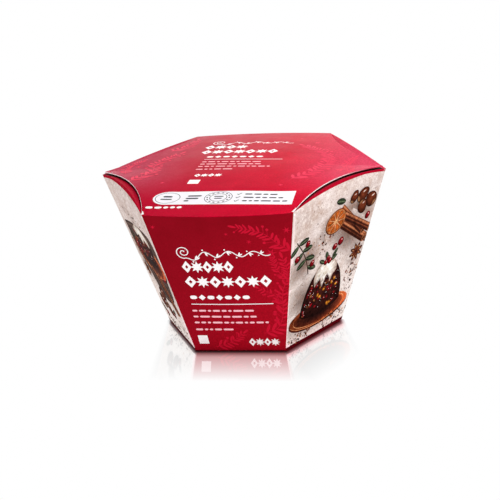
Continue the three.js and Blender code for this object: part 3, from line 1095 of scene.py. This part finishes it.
def red_board():
    """Printed red, deeper on the walls (where the ink's alpha is 1) than on the lid as painted shade. The lid has
    painted sheen, paler and pinker, towards its left and right ends, and painted light, darker on its left than on its
    right; the front and back panels have painted light towards their lower right corner."""
    nodes = Board("red_print", 0.36, GLOSS)
    x, y, z = nodes.axes()
    mottle = nodes.spread(nodes.noise(14.0, 5.0, 0.6), 0.35, 0.65)
    grain = nodes.spread(nodes.noise(0.9), 0.3, 0.7, 0.0, 0.6)
    off_front = nodes.spread(y, -48 * MM, -22 * MM)
    # painted light: darker on the lid's left, brighter on its right
    lid = nodes.mix(nodes.spread(x, -50 * MM, 50 * MM), *LID_REDS[:2])
    lid = nodes.mix(nodes.times(mottle, 0.4), lid, LID_REDS[2])
    # painted sheen towards the lid's left and right ends
    for way, shade in zip((-1, 1), LID_END_SHEENS):
        reach = nodes.spread(nodes.times(x, way), 22 * MM, 64 * MM)
        lid = nodes.mix(nodes.times(reach, off_front), lid, shade)
    # painted light towards the front and back panels' lower right corner
    rightward = nodes.times(x, nodes.spread(y, -20 * MM, 20 * MM, 1.0, -1.0))
    lower_right = nodes.math("SUBTRACT", rightward, nodes.times(z, 0.7))
    glow = nodes.times(nodes.spread(lower_right, -80 * MM, 5 * MM), nodes.spread(z, 62 * MM, 79 * MM, 1.0, 0.3))
    wall = nodes.mix(glow, nodes.mix(mottle, *WALL_REDS), WALL_PAINTED_LIGHT)
    # painted shade: where the board faces sideways or down (ink alpha 1), its red is deeper than the lid's
    shades = [nodes.mix(grain, shade, dark) for shade, dark in ((lid, LID_REDS[2]), (wall, WALL_REDS[1]))]
    return nodes.finished(nodes.mix(nodes.ink()["Alpha"], *shades), (0.33, 0.43))


def plain_ink(name, colour, low_colour=None, specular=GLOSS):
    """One ink, or two that blend from the carton's foot to its lid"""
    nodes = Board(name, 0.38, specular)
    if low_colour is not None:
        colour = nodes.mix(nodes.spread(nodes.axes()[2], 8 * MM, 75 * MM), low_colour, colour)
    return nodes.finished(colour, (0.34, 0.44))


STONE = srgb(216, 202, 198)
STONE_PATCHES = (  # colour, strength, where it rises from and to, and the noise: size, detail, roughness, distortion
    (srgb(193, 174, 167), 1.0, 0.36, 0.66, 18.0, 6.0, 0.62, 0.4),
    (srgb(172, 138, 118), 0.8, 0.5, 0.72, 9.0, 6.0, 0.7, 0.8),
    (srgb(238, 228, 222), 0.7, 0.5, 0.68, 2.6, 5.0, 0.65),
)


def stone_colour(nodes):
    """Pale stone ground: blotches, warm stains, light spots, a foot painted paler as painted light, fine grain and
    sparse dark specks
    """
    colour = STONE
    for patches in STONE_PATCHES:
        colour = nodes.patches(colour, *patches)
    # painted light: the stone is painted paler towards the carton's foot
    colour = nodes.mix(nodes.spread(nodes.axes()[2], 0.0, 55 * MM, 0.65, 0.0), colour, srgb(248, 238, 232))
    colour = nodes.patches(colour, srgb(166, 138, 124), 0.8, 0.5, 0.68, 0.8, 4.0, 0.6)
    cells = nodes.node("ShaderNodeTexVoronoi", {"Vector": nodes.place, "Scale": 1 / (2.4 * MM)})
    fleck = nodes.spread(cells.outputs["Distance"], 0.12, 0.22, 1.0, 0.0)
    where = nodes.spread(nodes.noise(8.0), 0.5, 0.6, 0.0, 0.8)
    return nodes.mix(nodes.times(fleck, where), colour, srgb(96, 62, 46))


def picture_board():
    """Stone ground, with the drawn inks over it where their alpha says"""
    nodes = Board("stone_print", 0.38, MATT)
    ink = nodes.ink()
    drawn = nodes.patches(ink["Color"], srgb(60, 30, 24), 0.22, 0.3, 0.7, 0.7)
    mottle = nodes.spread(nodes.noise(2.4, 5.0, 0.7, 0.6), 0.32, 0.68, 0.08, 0.96)
    drawn = nodes.mix(0.75, drawn, mottle, "OVERLAY")
    return nodes.finished(nodes.mix(ink["Alpha"], stone_colour(nodes), drawn), (0.34, 0.44))


def bare_board(name, colour, fibre, second_colour=None):
    """Uncoated board: matt, fibrous. Where the ink's alpha says, it takes on the second colour."""
    nodes = Board(name, 0.8, 0.02)
    colour = nodes.patches(colour, fibre, 1.0, 0.35, 0.65, 0.4, 4.0, 0.7, 1.5)
    if second_colour is not None:
        colour = nodes.mix(nodes.ink()["Alpha"], colour, second_colour)
    return nodes.finished(colour, (0.7, 0.9), FIBRE_BUMPS)


# ---- studio

def build_camera():
    elevation, azimuth, roll = (math.radians(v) for v in (CAMERA_ELEVATION, CAMERA_AZIMUTH, CAMERA_ROLL))
    level = math.cos(elevation)
    back = Vector((math.sin(azimuth) * level, -math.cos(azimuth) * level, math.sin(elevation)))
    right = (-back).cross(Vector((0, 0, 1))).normalized()
    up = right.cross(-back)
    across = right * math.cos(roll) + up * math.sin(roll)
    upward = up * math.cos(roll) - right * math.sin(roll)
    place = (Vector(CAMERA_TARGET) + back * CAMERA_DISTANCE) * MM
    data = bpy.data.cameras.new("camera")
    data.sensor_width = SENSOR
    data.lens = FOCAL_PIXELS / PHOTO_SIZE * SENSOR
    data.clip_start, data.clip_end = 0.01, 50
    camera = new_object("camera", data)
    camera.matrix_world = Matrix.Translation(place) @ Matrix((across, upward, back)).transposed().to_4x4()
    bpy.context.scene.camera = camera


def softbox(name, place, aim, size, power):
    data = bpy.data.lights.new(name, "AREA")
    data.shape = "RECTANGLE"
    data.size, data.size_y = size
    data.energy = power
    light = new_object(name, data)
    light.location = place
    light.rotation_euler = (Vector(aim) - Vector(place)).to_track_quat("-Z", "Y").to_euler()


def build_world():
    """Bright near the horizon, most of all behind the carton and to its right, and dim above"""
    world = bpy.data.worlds.new("studio")
    bpy.context.scene.world = world
    nodes = Nodes(world, "Generated")
    x, y, z = nodes.axes()

    def soft(value, low, high, to_low, to_high):
        return nodes.spread(value, low, high, to_low, to_high, "SMOOTHSTEP")

    height = soft(z, 0.05, 0.6, WORLD_LOW, WORLD_HIGH)
    sides = nodes.times(soft(x, 0.1, 0.55, 1.0, WORLD_RIGHT), soft(x, -0.55, -0.1, WORLD_LEFT, 1.0))
    behind = soft(y, 0.3, 0.8, 1.0, soft(z, 0.08, 0.5, *WORLD_BACK))
    background = nodes.tree.nodes["Background"]
    nodes.set(background, "Color", WORLD_COLOUR)
    nodes.set(background, "Strength", nodes.times(height, sides, behind))


def floor_material():
    """White that glows and mirrors the carton near its foot, more in front of it than beside it. Its glow fades towards
    the foot as a painted contact shadow, and is tinted pink in front and by the right foot as painted reflection.
    """
    nodes = Nodes(bpy.data.materials.new("floor_white"))
    nodes.tree.nodes.remove(nodes.tree.nodes["Principled BSDF"])
    x, y, _ = nodes.axes()
    dots = [nodes.node("ShaderNodeVectorMath", (nodes.place, tuple(side.out)), operation="DOT_PRODUCT").outputs["Value"]
            for side in SIDES[:3]]
    away = [nodes.math("ABSOLUTE", dot) for dot in dots]
    farthest = nodes.math("MAXIMUM", nodes.math("MAXIMUM", away[0], away[1]), away[2])
    foot = FOOT_RADIUS * MM

    def from_foot(reach, at_foot, beyond):
        """A value that changes over this many mm from the foot"""
        return nodes.spread(farthest, foot, foot + reach * MM, at_foot, beyond)

    def mirrored(start, half_width, flare, soft):
        """1 on the floor that mirrors what stands between two edges which start at this Y and lean outward, else 0"""
        before = nodes.math("SUBTRACT", start, y)
        aside = nodes.math("ABSOLUTE", nodes.math("SUBTRACT", x, nodes.times(before, REFLECTION_SHEAR)))
        beyond = nodes.math("SUBTRACT", aside, nodes.times(before, flare))
        within = nodes.spread(beyond, half_width - soft, half_width + soft, 1.0, 0.0)
        return nodes.times(within, nodes.spread(before, -1 * MM, 0.0))

    in_front = mirrored(-foot, BASE_SIDE / 2 * MM, FRONT_FLARE, 1 * MM)
    under = mirrored(0.0, BASE_SIDE * MM, SIDE_FLARE, 1.5 * MM)
    fading = from_foot(MIRROR_FADE, 1.0, 0.0)
    beside_mirror = from_foot(FOOT_FADE, MIRROR_FOOT, MIRROR_SIDES)
    strongest = nodes.times(under, nodes.between(in_front, beside_mirror, MIRROR_FRONT))
    # painted reflection and shade: pink by the right foot, in both glow and mirror
    rightward = nodes.spread(x, 5 * MM, 25 * MM)
    beside = nodes.between(rightward, foot + CONTACT_LEFT * MM, foot + CONTACT_RIGHT * MM)
    contact_end = nodes.between(in_front, beside, foot + CONTACT_FRONT * MM)
    # painted contact shadow: the glow fades towards the foot
    painted_contact_shadow = nodes.spread(farthest, foot - 0.5 * MM, contact_end, nodes.between(under, 1.0, 0.0), 1.0, "SMOOTHSTEP")
    aside = nodes.times(under, nodes.math("SUBTRACT", 1.0, in_front))
    tint = nodes.mix(nodes.times(rightward, aside, from_foot(RIGHT_PAINTED_REFLECTION_REACH, 1.0, 0.0)), WHITE, RIGHT_PAINTED_REFLECTION)
    # painted reflection: pink glow in front of the red front panel
    glow_tint = nodes.mix(nodes.times(in_front, fading), tint, FRONT_PAINTED_REFLECTION)
    glow = nodes.node("ShaderNodeEmission", {"Color": glow_tint, "Strength": painted_contact_shadow})
    smear = nodes.spread(nodes.noise(40.0), 0.3, 0.7, 0.05, 0.09)
    polish = nodes.node("ShaderNodeBsdfAnisotropic", {"Color": tint, "Roughness": smear})
    blend = nodes.node("ShaderNodeMixShader", (nodes.times(fading, strongest), glow.outputs[0], polish.outputs[0]))
    # clear from beneath and right under the carton, so that its base can be looked at from below
    from_beneath = nodes.node("ShaderNodeNewGeometry").outputs["Backfacing"]
    clear = nodes.math("MAXIMUM", from_beneath, nodes.math("LESS_THAN", farthest, foot - 0.6 * MM))
    glass = nodes.node("ShaderNodeBsdfTransparent")
    seen = nodes.node("ShaderNodeMixShader", (clear, blend.outputs[0], glass.outputs[0]))
    nodes.set(nodes.tree.nodes["Material Output"], "Surface", seen.outputs[0])
    return nodes.owner


def build_floor():
    steps = np.linspace(-FLOOR_HALF, FLOOR_HALF, FLOOR_CELLS + 1)
    mesh = bpy.data.meshes.new("floor")
    faces = grid_faces(len(steps), len(steps), flipped=True)
    mesh.from_pydata([(x, y, -FLOOR_GAP) for y in steps for x in steps], [], faces)
    mesh.materials.append(floor_material())
    floor = new_object("floor", mesh)


# ---- the scene

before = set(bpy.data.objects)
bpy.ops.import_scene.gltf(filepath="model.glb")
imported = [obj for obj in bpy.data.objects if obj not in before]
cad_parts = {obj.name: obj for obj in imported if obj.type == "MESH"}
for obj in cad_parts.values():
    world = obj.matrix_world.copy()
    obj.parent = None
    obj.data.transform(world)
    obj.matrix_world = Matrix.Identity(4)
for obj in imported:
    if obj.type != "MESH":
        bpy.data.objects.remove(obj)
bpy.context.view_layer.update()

scene = bpy.context.scene
scene.view_settings.view_transform = "Standard"
scene.view_settings.look = "None"

build_camera()
build_world()
for box in SOFTBOXES:
    softbox(*box)
build_floor()

stone = picture_board()
cut_board = bare_board("cut_board", srgb(255, 252, 252), srgb(252, 240, 241), srgb(196, 60, 84))
# painted shade: the front flaps' red, and the bands below the crease at the tips, are darker than the lid's red for the
# shade under the lid's edge
flap_red = plain_ink("flap_red", srgb(160, 10, 36), specular=MATT)
shell_materials = {
    "cut_edges": cut_board,
    # painted shade: the board's reverse in the gap under the lid is painted near black, for the shade in there
    "lid_reverse": bare_board("board_reverse", srgb(52, 34, 32), srgb(36, 22, 22)),
    "lid_flaps": flap_red,
    # painted shade: the foot's near-black red stands for the contact shade at the floor
    "foot_borders": plain_ink("foot_red", srgb(84, 6, 18), specular=MATT),
}
red = red_board()
build_shell(lambda name: stone if name.startswith("print_side") else shell_materials.get(name, red))

white, soft, label, marks = (Print() for _ in range(4))
print_front(white, soft)
print_lid(white, soft, label, marks)
print_back(white, soft)
white.build("white_print", plain_ink("white_ink", srgb(255, 252, 252)))
soft.build("fine_white_print", plain_ink("soft_white_ink", srgb(255, 194, 204)))
label.build("label_band", plain_ink("label_white", srgb(242, 239, 243)))
marks.build("label_band_marks", plain_ink("grey_ink", srgb(54, 50, 60)))

panel_garlands, lid_garlands = Print(), Print()
garlands(panel_garlands, PANELS[FRONT], FRONT_GARLANDS, FRONT_CRYSTALS)
garlands(panel_garlands, PANELS[BACK], BACK_GARLANDS)
garlands(lid_garlands, LID, LID_GARLANDS, LID_CRYSTALS)
panel_garlands.build("light_red_garlands", plain_ink("light_red_ink", srgb(202, 20, 48)))
lid_garlands.build("lid_garlands", plain_ink("lid_light_red_ink", srgb(230, 58, 88)))

# the back sides mirror the front ones
for index, design, way, seed in ((FRONT_RIGHT, feast, 1, 11), (FRONT_LEFT, slice_scene, 1, 12),
                                 (BACK_LEFT, feast, -1, 13), (BACK_RIGHT, slice_scene, -1, 14)):
    picture = Picture().on(PANELS[index], lambda points: points * (way, 1))
    design(picture, seed)
    picture.build(f"picture_{index}", stone)

# paler strips along the folds beside the front and back panels, 3.1 mm wide at the foot and 1.6 mm at the lid: partly
# an unprinted border, partly a painted highlight on the rounded folds, brighter and pinker towards the foot
fold_strips = Print()
heights = np.linspace(1.9, 86.2, 60)
for index, end in ((FRONT_RIGHT, -1), (FRONT_LEFT, 1), (BACK_RIGHT, 1), (BACK_LEFT, -1)):
    half_width = panel_width(heights / PANEL_HEIGHT) / 2
    width = 3.1 - 1.5 * heights / PANEL_HEIGHT
    fold, inner = pairs(end * (half_width - 0.12), heights), pairs(end * (half_width - width), heights)
    fold_strips.on(PANELS[index]).strip(fold, inner, end > 0)
fold_strips.build("pale_fold_strips", plain_ink("pale_fold_ink", srgb(230, 210, 206), srgb(255, 226, 230), MATT))

# the flaps' red just below the crease, beside the left and right tips, in the darker red of painted shade
tip_bands = Print()
for index, tip in ((FRONT_RIGHT, 1.0), (FRONT_LEFT, 0.0)):
    u = np.abs(tip - np.linspace(0.003, TIP_BAND_SHARE, 40))
    crease = SIDES[index].bend_share(u) * PANEL_HEIGHT + SIDES[index].bend_length(u)
    x = (u - 0.5) * panel_width(np.minimum(crease / PANEL_HEIGHT, 1))
    width = TIP_BAND * (1 - np.abs(u - tip) / TIP_BAND_SHARE)
    tip_bands.on(PANELS[index]).strip(pairs(x, crease), pairs(x, crease - width), tip > 0)
tip_bands.build("tip_bands", flap_red)

# bare board where the lid's cut edges end at the front corners
scuffs = Print().on(LID)
for index, ends in ((FRONT_RIGHT, (0.002, 0.055)), (FRONT_LEFT, (0.998, 0.955))):
    edge = SIDES[index].lid_edge(np.linspace(*ends, 8))[:, :2] * 0.99
    scuffs.line(edge, lambda s: 1.4 - 1.1 * s, 2, step=0.5)
for index, way, size in ((FRONT_RIGHT, -1, (0.8, 0.35)), (FRONT_LEFT, 1, (1.1, 0.5))):
    scuff = ellipse(*size, 12, 0.12, index)
    scuffs.on(PANELS[index]).fill(scuff, way * SCUFF_PLACE[0], SCUFF_PLACE[1], way * 0.9, 2)
scuffs.build("corner_scuffs", cut_board)
